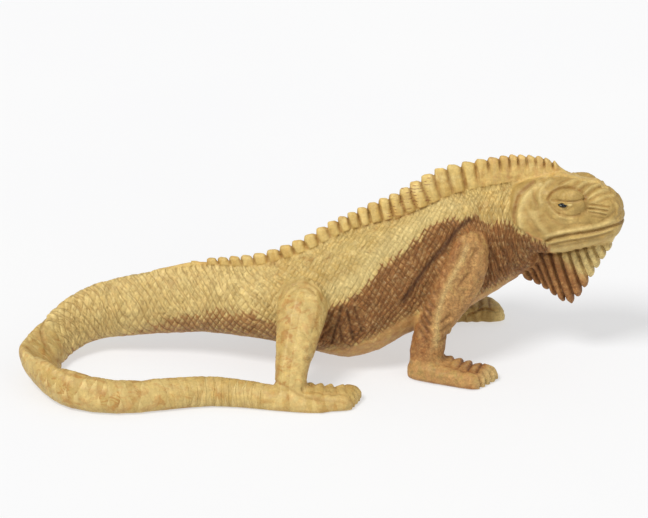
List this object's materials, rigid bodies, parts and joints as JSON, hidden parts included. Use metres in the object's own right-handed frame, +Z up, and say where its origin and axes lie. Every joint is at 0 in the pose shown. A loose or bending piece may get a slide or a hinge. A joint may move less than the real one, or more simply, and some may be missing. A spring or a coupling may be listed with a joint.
{
  "type": "wooden iguana figurine",
  "caption": "Hand-carved wooden iguana standing on four legs, with a toothed back crest, a ribbed throat fan and a long tail that loops round to lie along its right hind foot",
  "frame": {"origin": "middle of the footprint's bounding box, on the surface the figure stands on", "axes": "+X is where the body points, towards the head; -Y is the animal's right side, to which its head and tail turn; +Z is up"},
  "size_m": [0.33, 0.1476, 0.1172],
  "materials": {
    "carved_wood": "pale yellow wood under a thin satin wax, stained red-brown along the flanks and throat, with black painted eyes"
  },
  "bodies": {
    "root": {"iguana": "carved_wood"}
  },
  "joints": []
}
